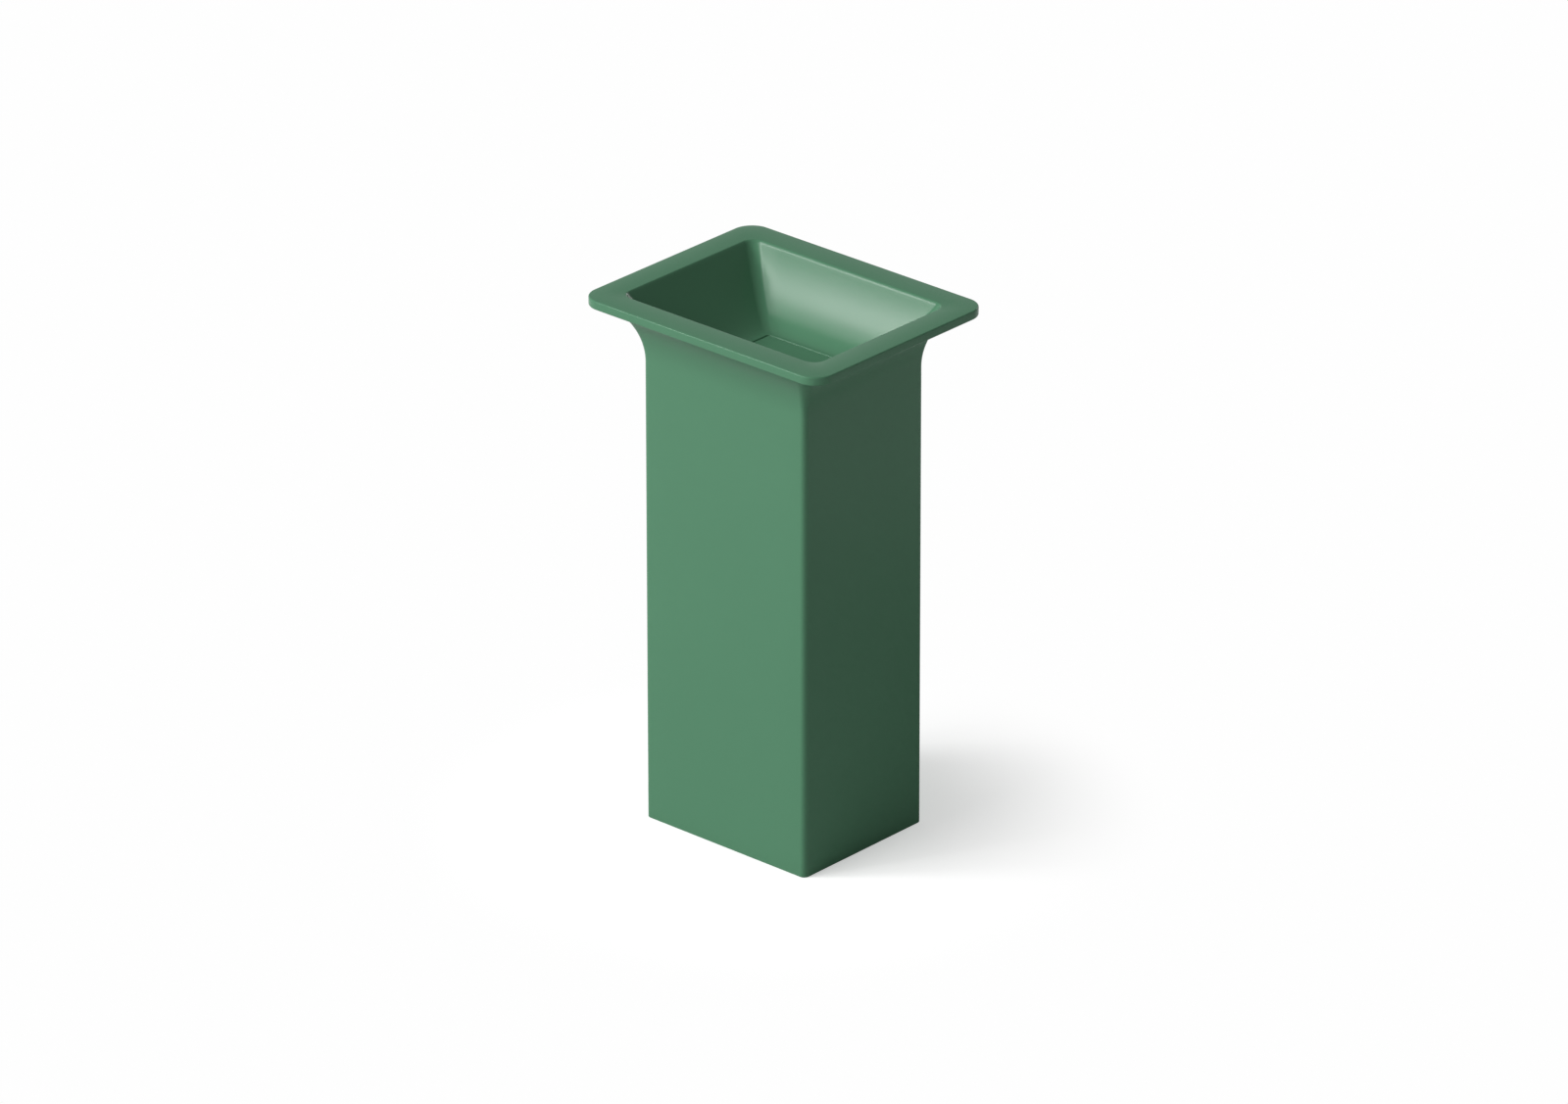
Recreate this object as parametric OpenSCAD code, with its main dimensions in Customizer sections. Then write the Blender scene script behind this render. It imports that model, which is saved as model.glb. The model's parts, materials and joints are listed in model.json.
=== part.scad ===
// Free-standing column washbasin: flared head with a thin rim and a deep bowl, hollow column,
// flush drain cover, bottle trap, waste pipe to the floor, floor brackets and a rear service panel.
// Millimetres. Origin at the middle of the base, on the floor. +Z up, the rear is +Y.

/* [Rim] */
// Height of the rim above the floor
overall_h = 900; // [860:5:940]
// Width of the rim, left to right
rim_w = 500; // [480:5:540]
// Depth of the rim, front to back
rim_d = 400; // [380:5:440]
// Thickness of the rim
rim_t = 15; // [12:1:20]
// Corner radius of the rim seen from above
rim_r = 36; // [24:1:50]
// Rounding of the rim's upper and lower edge
rim_edge_r = 2.5; // [1:0.5:5]

/* [Column] */
// Width of the column
column_w = 340; // [320:5:360]
// Depth of the column
column_d = 280; // [260:5:300]
// Radius of the column's upright corners
column_r = 10; // [6:1:14]
// Radius of the column's inner corners
column_inner_r = 6; // [3:1:10]
// Wall of the column and of the head's skirt
column_wall = 12; // [10:1:14]
// Thicker wall at the foot
foot_wall = 22; // [20:1:28]
// Height of the thicker foot
foot_h = 60; // [50:5:100]
// Drop of the head's skirt below the bowl's underside, down to the bonded seam
skirt_drop = 8; // [4:1:14]
// Wall of the backing ring inside, across the seam
ring_wall = 5; // [4:1:8]
// Height of the backing ring below the seam
ring_below = 25; // [15:1:26]
// Height of the backing ring above the seam
ring_above = 20; // [15:1:30]

/* [Flare] */
// Height of the flare under the rim
flare_h = 94; // [80:2:100]
// Radius of the flare's arc
flare_r = 128; // [120:2:160]
// Share of the flare's spread by which its corners grow rounder
flare_soft = 0.5; // [0:0.1:0.8]

/* [Bowl] */
// Width of the bowl at the rim
opening_w = 400; // [380:5:405]
// Depth of the bowl's opening, front to back
opening_d = 300; // [280:5:320]
// Corner radius of the opening
opening_r = 18; // [12:1:30]
// Rounding of the bowl's lip
lip_r = 5; // [3:1:6]
// Depth of the bowl below the rim
bowl_depth = 105; // [96:1:110]
// Share of the inward run that the wall's bend keeps, lower is straighter
wall_bend = 0.35; // [0.2:0.05:0.45]
// Corner radius of the bowl at its floor
floor_r = 8; // [5:1:12]
// Flat ledge round the recess
ledge = 3; // [2:0.5:5]
// Thickness of the bowl's wall, sideways
bowl_side = 8; // [7:0.5:9]
// Thickness of the bowl's base
bowl_base = 12; // [10:1:14]

/* [Drain cover] */
// Width of the drain cover
cover_w = 172; // [160:2:184]
// Depth of the drain cover, front to back
cover_d = 122; // [112:2:130]
// Thickness of the drain cover
cover_t = 12; // [10:1:14]
// Corner radius of the drain cover
cover_r = 3; // [2:0.5:6]
// Water gap round the drain cover
cover_gap = 3; // [2:0.5:4]
// Depth of the recess that the cover lies in
recess_h = 40; // [36:1:42]
// Radius of the cover's rubber feet
pad_r = 8; // [6:1:12]
// Distance of the feet from the cover's edges
pad_inset = 18; // [14:1:24]

/* [Waste] */
// Radius of the waste hole
waste_hole_r = 22.5; // [22.2:0.1:24]
// Outer radius of the waste's threaded tail
tail_r = 20.95; // [20:0.05:21.5]
// Bore of the tail
tail_bore_r = 18; // [16.5:0.5:18.5]
// Radius of the waste's flange
flange_r = 31.5; // [30:0.5:34]
// Thickness of the flange
flange_t = 3; // [2:0.5:4]
// Length of the tail under the flange
tail_h = 75; // [72:1:90]
// Radius of each hole in the grid
grid_hole_r = 3.5; // [2.5:0.5:4]
// Radius of the ring of grid holes
grid_ring_r = 11; // [9:0.5:12]
// Number of holes in the ring
grid_holes = 8; // [6:1:8]
// Thickness of the seal under the flange
flange_seal_t = 1; // [0.5:0.5:2]
// Thickness of the rubber gasket under the bowl
gasket_t = 3; // [2:0.5:4]
// Thickness of the plastic washer under the gasket
washer_t = 1.5; // [1:0.5:3]
// Radius of the gasket and the washer
gasket_r = 31; // [29:0.5:34]
// Height of the back nut
nut_h = 10; // [8:1:12]
// Radius of the back nut over its corners
nut_r = 33; // [31:1:36]

/* [Trap] */
// Outer radius of the trap's tubes
tube_r = 16; // [15:0.5:16]
// Wall of the trap's tubes
tube_wall = 1.5; // [1:0.5:2]
// Outer radius of the trap's threaded necks
neck_r = 21; // [20.5:0.5:22]
// Outer radius of the union nuts
union_r = 26; // [25:0.5:28]
// Height of the union nuts' lip
union_lip = 4; // [3:0.5:5]
// Threaded length that a union nut covers
union_grip = 14; // [12:1:18]
// Thickness of the union seals
seal_t = 2; // [1.5:0.5:3]
// Thickness of the inlet tube's flange
tube_flange_t = 3; // [2:0.5:4]
// Length of the trap's inlet tube
inlet_tube_l = 145; // [140:1:155]
// Outer radius of the trap's bottle
bottle_r = 33; // [31:1:36]
// Wall of the trap's bottle
bottle_wall = 3.5; // [3:0.5:4]
// Height of the bottle above the outlet's axis
bottle_above = 27; // [26:1:30]
// Height of the bottle below the outlet's axis
bottle_below = 28; // [27:1:31]
// Length of the outlet branch beyond the bottle
branch_l = 19; // [18:1:22]
// Length of the neck above the bottle
neck_h = 22; // [20:1:26]
// Depth of the water seal under the outlet
water_seal = 50; // [45:5:60]
// Depth of the cup below the inlet tube's end
cup_sump = 20; // [16:1:30]
// Wall of the cup
cup_wall = 3; // [2.5:0.5:3.5]
// Length of the cup's spigot above its seal
spigot_h = 12; // [10:1:16]
// Height of the cup's screw collar
collar_h = 14; // [12:1:18]
// Overhang of the collar past the bottle
collar_lip = 2; // [1:0.5:3]
// Thickness of the cup's seal
cup_seal_t = 2; // [1.5:0.5:3]

/* [Waste pipe] */
// Distance of the floor pipe from the middle, to the left
pipe_x = 85; // [82:1:88]
// Outer radius of the floor pipe
pipe_r = 20; // [20:0.5:21]
// Wall of the floor pipe
pipe_wall = 1.8; // [1.5:0.1:2]
// Height of the pipe's free end above the floor
pipe_end_h = 35; // [25:5:60]
// Radius of the elbow's bend
bend_r = 25; // [24:1:27]
// Length of the elbow's tube inside the trap's branch
elbow_insert = 14; // [10:1:18]
// Length of the elbow's lower leg
leg_h = 35; // [30:1:50]
// Drop of the floor pipe's top below the bend
pipe_drop = 13; // [10:1:18]
// Height of the rubber reducer in the pipe
reducer_h = 14; // [10:1:20]

/* [Floor brackets] */
// Length of a floor bracket, front to back
bracket_l = 160; // [140:5:180]
// Height of its upright leg
bracket_h = 50; // [46:1:58]
// Width of its flat leg
bracket_leg = 35; // [32:1:36]
// Thickness of the bracket's steel
bracket_t = 3; // [2:0.5:4]
// Distance between its floor holes, front to back
floor_hole_pitch = 100; // [80:5:110]
// Distance of the floor holes from the column's foot
floor_hole_inset = 20; // [18:1:24]
// Radius of the floor holes
floor_hole_r = 4.5; // [4:0.5:5.5]
// Distance between its column bolts, front to back
bolt_pitch = 124; // [120:2:130]
// Height of the column bolts
bolt_h = 30; // [26:1:34]
// Radius of the bolt's shank
bolt_r = 4; // [3:0.5:4.5]
// Radius of the bolt's head
bolt_head_r = 6.5; // [6:0.5:8]
// Height of the bolt's head
bolt_head_h = 5; // [4:0.5:6]
// Radius of the bolt's washer
bolt_washer_r = 7.5; // [7:0.5:9]
// Thickness of the bolt's washer
bolt_washer_t = 1.6; // [1:0.2:2]
// Radius of the threaded insert
insert_r = 6.5; // [6:0.5:8]
// Length of the threaded insert
insert_l = 12; // [10:1:14]

/* [Service panel] */
// Width of the service panel
panel_w = 200; // [180:5:220]
// Height of the service panel
panel_h = 440; // [400:10:450]
// Drop of the panel's upper edge below the seam
panel_drop = 35; // [32:1:60]
// Thickness of the service panel
panel_t = 6; // [5:0.5:7]
// Corner radius of the service panel
panel_r = 12; // [8:1:20]
// Gap round the service panel
panel_gap = 2; // [1:0.5:3]
// Width of the ledge behind the panel's edge
panel_ledge = 14; // [13:1:18]
// Radius of the finger notch in the panel's lower edge
notch_r = 12; // [10:1:13]
// Distance of the magnets from the panel's edges
magnet_inset = 7; // [6.5:0.5:8]
// Radius of the magnets and their catch plates
magnet_r = 5; // [4:0.5:5.5]
// Thickness of the magnets
magnet_t = 3; // [2:0.5:4]
// Thickness of the catch plates
catch_t = 2; // [1:0.5:3]

/* [Fits] */
// Clearance between round parts that fit into each other
fit = 0.05; // [0.03:0.01:0.1]
// Gap between a lift-off part and its seat
seat_gap = 0.3; // [0.2:0.1:0.5]

/* [Hidden] */

$fn = 64;
green = [0.32, 0.49, 0.38];
dark_green = [0.27, 0.44, 0.33];
steel = [0.72, 0.73, 0.74];
brass = [0.78, 0.64, 0.32];
rubber = [0.12, 0.12, 0.12];
white_plastic = [0.92, 0.92, 0.90];
grey_plastic = [0.55, 0.56, 0.57];

// How far a cutting shape runs past the face that it cuts
past = 1;
corner_steps = 8;
lip_steps = 3;
wall_steps = 14;
flare_steps = 16;

// Finger ribs round the union nuts and the cup's collar
ribs = 12;
rib_w = 4;
rib_out = 1.5;
rib_root = 0.5;
rib_end = 2;

// Running clearances of seals and tubes in what holds them
seal_play = 0.25;
tube_play = 0.6;
seal_set_in = 0.5;

// Heights, from the rim down
rim_z = overall_h - rim_t;
flare_z = rim_z - flare_h;
flare_turn = asin(flare_h / flare_r);
lip_z = overall_h - lip_r;
floor_z = overall_h - bowl_depth;
recess_z = floor_z - recess_h;
under_z = recess_z - bowl_base;
seam_h = under_z - skirt_drop;

// Recess and floor of the bowl
recess_w = cover_w + 2 * cover_gap;
recess_d = cover_d + 2 * cover_gap;
recess_r = cover_r + cover_gap / 2;
floor_half_w = recess_w / 2 + ledge;
floor_half_d = recess_d / 2 + ledge;
bend_half_w = floor_half_w + wall_bend * (opening_w / 2 - floor_half_w);
bend_half_d = floor_half_d + wall_bend * (opening_d / 2 - floor_half_d);
lean_w = (opening_w / 2 - bend_half_w) / (lip_z - floor_z);
lean_d = (opening_d / 2 - bend_half_d) / (lip_z - floor_z);

// Hollow of the column and of the skirt
hollow_w = column_w - 2 * column_wall;
hollow_d = column_d - 2 * column_wall;
foot_hollow_w = column_w - 2 * foot_wall;
foot_hollow_d = column_d - 2 * foot_wall;

// Waste fitting, from the recess down
flange_z = recess_z + flange_seal_t;
tail_z = flange_z - tail_h;
gasket_z = under_z - gasket_t;
washer_z = gasket_z - washer_t;
nut_z = washer_z - nut_h;
seal_r = tail_r - seal_play;

// Trap, from the waste's tail down
tube_flange_z = tail_z - seal_t - tube_flange_t;
tube_end = tail_z - seal_t - inlet_tube_l;
outlet_h = tube_end + water_seal + tube_r;
bottle_top = outlet_h + bottle_above;
bottle_end = outlet_h - bottle_below;
neck_top = bottle_top + neck_h;
neck_bore_r = tube_r + tube_play;
branch_x = bottle_r + branch_l;
cup_floor_z = tube_end - cup_sump;
cup_spigot_r = bottle_r - bottle_wall - seat_gap;
collar_r = bottle_r + collar_lip;
collar_top = bottle_end - seat_gap - cup_seal_t;
elbow_x = pipe_x - bend_r;
pipe_top = outlet_h - bend_r - pipe_drop;

// Brackets and panel
bracket_x = foot_hollow_w / 2;
floor_hole_x = bracket_x - floor_hole_inset;
panel_z = seam_h - panel_drop - panel_h / 2;
panel_y = column_d / 2 - panel_t;
ledge_y = panel_y - seat_gap;
magnet_x = panel_w / 2 - magnet_inset;
magnet_z = panel_h / 2 - magnet_inset;

function blend(a, b, c, t) = (1 - t) * (1 - t) * a + 2 * t * (1 - t) * b + t * t * c;

// Points of one rounded rectangle at height z, counter-clockwise from above
function outline(half_w, half_d, r, z) = [
    for (quarter = [0:3], step = [0:corner_steps])
        let (
            angle = 90 * (quarter + step / corner_steps),
            side_x = (quarter == 0 || quarter == 3) ? 1 : -1,
            side_y = quarter < 2 ? 1 : -1
        )
        [side_x * (half_w - r) + r * cos(angle), side_y * (half_d - r) + r * sin(angle), z]
];

// Outlines of the bowl's wall from the floor up; side and drop move the surface out and down
function wall_outlines(side, drop) = [
    for (step = [0:wall_steps])
        let (t = 1 - step / wall_steps)
        outline(
            blend(opening_w / 2, bend_half_w, floor_half_w, t) + side,
            blend(opening_d / 2, bend_half_d, floor_half_d, t) + side,
            opening_r + (floor_r - opening_r) * t + side,
            blend(lip_z, floor_z, floor_z, t) - drop
        )
];

// Outlines of the rounded lip, from the wall up to the rim's top face
function lip_outlines() = [
    for (step = [1:lip_steps])
        let (
            t = 1 - step / lip_steps,
            out_w = blend(lip_r, lean_w * lip_r, 0, t),
            out_d = blend(lip_r, lean_d * lip_r, 0, t)
        )
        outline(opening_w / 2 + out_w, opening_d / 2 + out_d, opening_r + out_d,
                blend(overall_h, overall_h, lip_z, t))
];

// Outline of the neck where the flare stands out by out
function neck_outline(out, z) =
    outline(column_w / 2 + out, column_d / 2 + out, column_r + flare_soft * out, z);

// Outlines of skirt and flare: straight from the seam up, then an arc out and into the rim
function neck_outlines() = [
    neck_outline(0, seam_h),
    for (step = [0:flare_steps])
        let (turn = flare_turn * step / flare_steps)
        neck_outline(flare_r * (1 - cos(turn)), flare_z + flare_r * sin(turn)),
    neck_outline(flare_r * (1 - cos(flare_turn)), rim_z + rim_t / 2)
];

// Closed solid over a stack of outlines with equal point counts, lowest first
module stack(outlines) {
    n = len(outlines[0]);
    top = (len(outlines) - 1) * n;
    polyhedron(
        points = [for (ring = outlines) each ring],
        faces = concat(
            [[for (i = [0:n - 1]) i]],
            [[for (i = [n - 1:-1:0]) top + i]],
            [for (base = [0:n:top - n], i = [0:n - 1]) [base + i, base + n + i, base + n + (i + 1) % n]],
            [for (base = [0:n:top - n], i = [0:n - 1]) [base + i, base + n + (i + 1) % n, base + (i + 1) % n]]
        )
    );
}

module rounded_rect(w, d, r) {
    square([w - 2 * r, d], center = true);
    square([w, d - 2 * r], center = true);
    for (x = [-1, 1], y = [-1, 1])
        translate([x * (w / 2 - r), y * (d / 2 - r)]) circle(r);
}

module rounded_box(w, d, r, z0, z1) {
    translate([0, 0, z0]) linear_extrude(z1 - z0) rounded_rect(w, d, r);
}

// Carries a 2D edge profile round a rounded rectangle; the profile starts at the corner's axis
module edge_round(w, d, r, h) {
    half_w = w / 2 - r;
    half_d = d / 2 - r;
    translate([-half_w, -half_d, 0]) cube([2 * half_w, 2 * half_d, h]);
    for (m = [0, 1]) {
        mirror([m, 0, 0]) translate([half_w, 0, 0]) rotate([90, 0, 0])
            linear_extrude(2 * half_d, center = true) children();
        mirror([0, m, 0]) translate([0, half_d, 0]) rotate([90, 0, 90])
            linear_extrude(2 * half_w, center = true) children();
    }
    for (mx = [0, 1], my = [0, 1])
        mirror([mx, 0, 0]) mirror([0, my, 0]) translate([half_w, half_d, 0])
            rotate_extrude(angle = 90) children();
}

module rim_profile() {
    translate([0, rim_edge_r]) square([rim_r, rim_t - 2 * rim_edge_r]);
    square([rim_r - rim_edge_r, rim_t]);
    for (y = [rim_edge_r, rim_t - rim_edge_r])
        translate([rim_r - rim_edge_r, y]) circle(rim_edge_r);
}

module pipe_ring(r_out, r_in, z0, z1) {
    translate([0, 0, z0]) difference() {
        cylinder(r = r_out, h = z1 - z0);
        translate([0, 0, -past]) cylinder(r = r_in, h = z1 - z0 + 2 * past);
    }
}

// Finger ribs that stand out of a cylinder of radius r
module finger_ribs(r, z0, z1) {
    for (i = [0:ribs - 1]) rotate(i * 360 / ribs)
        translate([r - rib_root, -rib_w / 2, z0]) cube([rib_root + rib_out, rib_w, z1 - z0]);
}

// Union nut over a threaded neck that ends at z = 0: the grip hangs below, the lip closes above
module union_nut(thread_r, lip_bore_r, reach) {
    difference() {
        union() {
            translate([0, 0, -union_grip]) cylinder(r = union_r, h = union_grip + reach + union_lip);
            finger_ribs(union_r, rib_end - union_grip, reach);
        }
        translate([0, 0, -union_grip - past]) cylinder(r = thread_r + fit, h = union_grip + reach + past);
        translate([0, 0, -past]) cylinder(r = lip_bore_r + fit, h = reach + union_lip + 2 * past);
    }
}

// Rim, flare, bowl and skirt, cast as one
module basin() {
    color(green) difference() {
        union() {
            translate([0, 0, rim_z]) edge_round(rim_w, rim_d, rim_r, rim_t) rim_profile();
            stack(neck_outlines());
        }
        stack(concat(wall_outlines(0, 0), lip_outlines(),
            [outline(opening_w / 2 + lip_r, opening_d / 2 + lip_r, opening_r + lip_r, overall_h + past)]));
        rounded_box(recess_w, recess_d, recess_r, recess_z, floor_z + past);
        difference() {
            rounded_box(hollow_w, hollow_d, column_inner_r, seam_h - past, rim_z);
            stack(wall_outlines(bowl_side, bowl_base));
            rounded_box(recess_w + 2 * bowl_side, recess_d + 2 * bowl_side, recess_r + bowl_side,
                        under_z, floor_z);
        }
        translate([0, 0, under_z - past]) cylinder(r = waste_hole_r, h = bowl_base + 2 * past);
    }
}

module column() {
    color(green) difference() {
        rounded_box(column_w, column_d, column_r, 0, seam_h);
        rounded_box(hollow_w, hollow_d, column_inner_r, foot_h, seam_h + past);
        rounded_box(foot_hollow_w, foot_hollow_d, column_inner_r, -past, foot_h + past);
        service_opening();
        at_bolts() rotate([0, 90, 0]) cylinder(r = insert_r, h = insert_l);
        at_magnets() translate([0, ledge_y - catch_t, 0]) rotate([-90, 0, 0])
            cylinder(r = magnet_r, h = catch_t + past);
    }
}

// Backing ring bonded inside, across the seam
module seam_ring() {
    color(dark_green) difference() {
        rounded_box(hollow_w - 2 * fit, hollow_d - 2 * fit, column_inner_r,
                    seam_h - ring_below, seam_h + ring_above);
        rounded_box(hollow_w - 2 * ring_wall, hollow_d - 2 * ring_wall, column_inner_r,
                    seam_h - ring_below - past, seam_h + ring_above + past);
    }
}

module drain_cover() {
    color(dark_green) rounded_box(cover_w, cover_d, cover_r, floor_z - cover_t, floor_z);
}

module cover_feet() {
    color(rubber)
    for (x = [-1, 1], y = [-1, 1])
        translate([x * (cover_w / 2 - pad_inset), y * (cover_d / 2 - pad_inset), recess_z + seat_gap])
            cylinder(r = pad_r, h = recess_h - cover_t - seat_gap);
}

module waste_body() {
    color(steel) difference() {
        union() {
            translate([0, 0, flange_z]) cylinder(r = flange_r, h = flange_t);
            translate([0, 0, tail_z]) cylinder(r = tail_r, h = tail_h);
        }
        translate([0, 0, tail_z - past]) cylinder(r = tail_bore_r, h = tail_h + past);
        translate([0, 0, flange_z - past]) {
            cylinder(r = grid_hole_r, h = flange_t + 2 * past);
            for (i = [0:grid_holes - 1]) rotate(i * 360 / grid_holes)
                translate([grid_ring_r, 0, 0]) cylinder(r = grid_hole_r, h = flange_t + 2 * past);
        }
    }
}

module waste_flange_seal() {
    color(rubber) pipe_ring(flange_r - seal_set_in, waste_hole_r, recess_z, flange_z);
}

module waste_gasket() {
    color(rubber) pipe_ring(gasket_r, tail_r + fit, gasket_z, under_z);
}

module waste_washer() {
    color(white_plastic) pipe_ring(gasket_r, tail_r + fit, washer_z, gasket_z);
}

module waste_nut() {
    color(steel) translate([0, 0, nut_z]) difference() {
        cylinder(r = nut_r, h = nut_h, $fn = 6);
        translate([0, 0, -past]) cylinder(r = tail_r + fit, h = nut_h + 2 * past);
    }
}

// The inlet nut grips the waste's tail from below, so it is a union nut turned over
module trap_inlet_nut() {
    color(white_plastic) translate([0, 0, tail_z]) mirror([0, 0, 1])
        union_nut(tail_r, tube_r, seal_t + tube_flange_t);
}

module trap_inlet_seal() {
    color(rubber) pipe_ring(seal_r, tail_bore_r, tail_z - seal_t, tail_z);
}

module trap_inlet_tube() {
    color(white_plastic) difference() {
        union() {
            translate([0, 0, tube_end]) cylinder(r = tube_r, h = inlet_tube_l);
            translate([0, 0, tube_flange_z]) cylinder(r = seal_r, h = tube_flange_t);
        }
        translate([0, 0, tube_end - past]) cylinder(r = tube_r - tube_wall, h = inlet_tube_l + 2 * past);
    }
}

module trap_slip_nut() {
    color(white_plastic) translate([0, 0, neck_top]) union_nut(neck_r, tube_r, seal_t);
}

module trap_slip_seal() {
    color(rubber) pipe_ring(neck_r - fit, tube_r + fit, neck_top, neck_top + seal_t);
}

module trap_body() {
    color(white_plastic) difference() {
        union() {
            translate([0, 0, bottle_end]) cylinder(r = bottle_r, h = bottle_top - bottle_end);
            translate([0, 0, bottle_top]) cylinder(r = neck_r, h = neck_h);
            translate([0, 0, outlet_h]) rotate([0, -90, 0]) cylinder(r = neck_r, h = branch_x);
        }
        translate([0, 0, bottle_end - past])
            cylinder(r = bottle_r - bottle_wall, h = bottle_top - bottle_end - bottle_wall + past);
        translate([0, 0, outlet_h]) cylinder(r = neck_bore_r, h = neck_top - outlet_h + past);
        translate([0, 0, outlet_h]) rotate([0, -90, 0]) cylinder(r = neck_bore_r, h = branch_x + past);
    }
}

module trap_cup() {
    color(white_plastic) difference() {
        union() {
            translate([0, 0, cup_floor_z - cup_wall])
                cylinder(r = bottle_r - cup_wall, h = collar_top - cup_floor_z + cup_wall);
            translate([0, 0, collar_top - collar_h]) cylinder(r = collar_r, h = collar_h);
            finger_ribs(collar_r, collar_top - collar_h, collar_top);
            translate([0, 0, collar_top - past])
                cylinder(r = cup_spigot_r, h = bottle_end + spigot_h - collar_top + past);
        }
        translate([0, 0, cup_floor_z])
            cylinder(r = cup_spigot_r - cup_wall, h = bottle_end + spigot_h - cup_floor_z + past);
    }
}

module trap_cup_seal() {
    color(rubber) pipe_ring(bottle_r, cup_spigot_r + fit, collar_top, collar_top + cup_seal_t);
}

module trap_outlet_nut() {
    color(white_plastic) translate([-branch_x, 0, outlet_h]) rotate([0, -90, 0])
        union_nut(neck_r, tube_r, seal_t);
}

module trap_outlet_seal() {
    color(rubber) translate([-branch_x, 0, outlet_h]) rotate([0, -90, 0])
        pipe_ring(neck_r - fit, tube_r + fit, 0, seal_t);
}

// Outlet tube, quarter bend and lower leg as one solid of radius r, its ends run on by extra
module elbow_run(r, extra) {
    translate([elbow_insert + extra - branch_x, 0, outlet_h]) rotate([0, -90, 0])
        cylinder(r = r, h = elbow_x - branch_x + elbow_insert + extra);
    translate([-elbow_x, 0, outlet_h - bend_r]) rotate([90, 0, 0]) rotate(90)
        rotate_extrude(angle = 90) translate([bend_r, 0]) circle(r);
    translate([-pipe_x, 0, outlet_h - bend_r - leg_h - extra]) cylinder(r = r, h = leg_h + extra);
}

module outlet_elbow() {
    color(white_plastic) difference() {
        elbow_run(tube_r, 0);
        elbow_run(tube_r - tube_wall, past);
    }
}

// Rubber sleeve that joins the trap's tube to the wider floor pipe
module pipe_reducer() {
    color(rubber) translate([-pipe_x, 0, 0]) {
        pipe_ring(pipe_r - pipe_wall - fit, tube_r + fit, pipe_top - reducer_h, pipe_top);
        pipe_ring(pipe_r, tube_r + fit, pipe_top, pipe_top + seal_t);
    }
}

module floor_pipe() {
    color(grey_plastic) translate([-pipe_x, 0, 0])
        pipe_ring(pipe_r, pipe_r - pipe_wall, pipe_end_h, pipe_top);
}

// Places its children at the four column bolts, each pointing outwards along its own +X
module at_bolts() {
    for (m = [0, 1], y = [-1, 1])
        mirror([m, 0, 0]) translate([bracket_x, y * bolt_pitch / 2, bolt_h]) children();
}

module floor_bracket() {
    difference() {
        union() {
            translate([bracket_x - bracket_t, -bracket_l / 2, 0])
                cube([bracket_t, bracket_l, bracket_h]);
            translate([bracket_x - bracket_leg, -bracket_l / 2, 0])
                cube([bracket_leg, bracket_l, bracket_t]);
        }
        for (y = [-1, 1]) {
            translate([floor_hole_x, y * floor_hole_pitch / 2, -past])
                cylinder(r = floor_hole_r, h = bracket_t + 2 * past);
            translate([bracket_x - bracket_t - past, y * bolt_pitch / 2, bolt_h]) rotate([0, 90, 0])
                cylinder(r = bolt_r + fit, h = bracket_t + 2 * past);
        }
    }
}

module floor_bracket_left() {
    color(steel) mirror([1, 0, 0]) floor_bracket();
}

module floor_bracket_right() {
    color(steel) floor_bracket();
}

module bracket_bolts() {
    grip = bracket_t + bolt_washer_t;
    color(steel) at_bolts() rotate([0, 90, 0]) {
        translate([0, 0, -grip]) cylinder(r = bolt_r, h = grip + insert_l);
        translate([0, 0, -grip - bolt_head_h]) cylinder(r = bolt_head_r, h = bolt_head_h, $fn = 6);
    }
}

module bracket_washers() {
    color(steel) at_bolts() rotate([0, 90, 0])
        pipe_ring(bolt_washer_r, bolt_r + fit, -bracket_t - bolt_washer_t, -bracket_t);
}

module bracket_inserts() {
    color(brass) at_bolts() rotate([0, 90, 0]) pipe_ring(insert_r, bolt_r + fit, 0, insert_l);
}

// Places its children at the panel's four corners, in the rear wall's plane
module at_magnets() {
    for (x = [-1, 1], z = [-1, 1])
        translate([x * magnet_x, 0, panel_z + z * magnet_z]) children();
}

// Upright rounded plate in the rear wall, from y0 to y1
module panel_plate(w, h, r, y0, y1) {
    translate([0, y1, panel_z]) rotate([90, 0, 0]) linear_extrude(y1 - y0) rounded_rect(w, h, r);
}

module service_opening() {
    panel_plate(panel_w + 2 * panel_gap, panel_h + 2 * panel_gap, panel_r + panel_gap,
                ledge_y, column_d / 2 + past);
    panel_plate(panel_w - 2 * panel_ledge, panel_h - 2 * panel_ledge, panel_r,
                hollow_d / 2 - past, column_d / 2);
}

module service_panel() {
    color(green) difference() {
        panel_plate(panel_w, panel_h, panel_r, panel_y, column_d / 2);
        translate([0, column_d / 2 + past, panel_z - panel_h / 2]) rotate([90, 0, 0])
            cylinder(r = notch_r, h = panel_t + 2 * past);
        at_magnets() translate([0, panel_y - past, 0]) rotate([-90, 0, 0])
            cylinder(r = magnet_r, h = magnet_t + past);
    }
}

module panel_magnets() {
    color(steel) at_magnets() translate([0, panel_y, 0]) rotate([-90, 0, 0])
        cylinder(r = magnet_r, h = magnet_t);
}

module catch_plates() {
    color(steel) at_magnets() translate([0, ledge_y - catch_t, 0]) rotate([-90, 0, 0])
        cylinder(r = magnet_r, h = catch_t);
}

basin();
column();
seam_ring();
drain_cover();
cover_feet();
waste_body();
waste_flange_seal();
waste_gasket();
waste_washer();
waste_nut();
trap_inlet_nut();
trap_inlet_seal();
trap_inlet_tube();
trap_slip_nut();
trap_slip_seal();
trap_body();
trap_cup();
trap_cup_seal();
trap_outlet_nut();
trap_outlet_seal();
outlet_elbow();
pipe_reducer();
floor_pipe();
floor_bracket_left();
floor_bracket_right();
bracket_bolts();
bracket_washers();
bracket_inserts();
service_panel();
panel_magnets();
catch_plates();
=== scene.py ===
import json
import math

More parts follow.
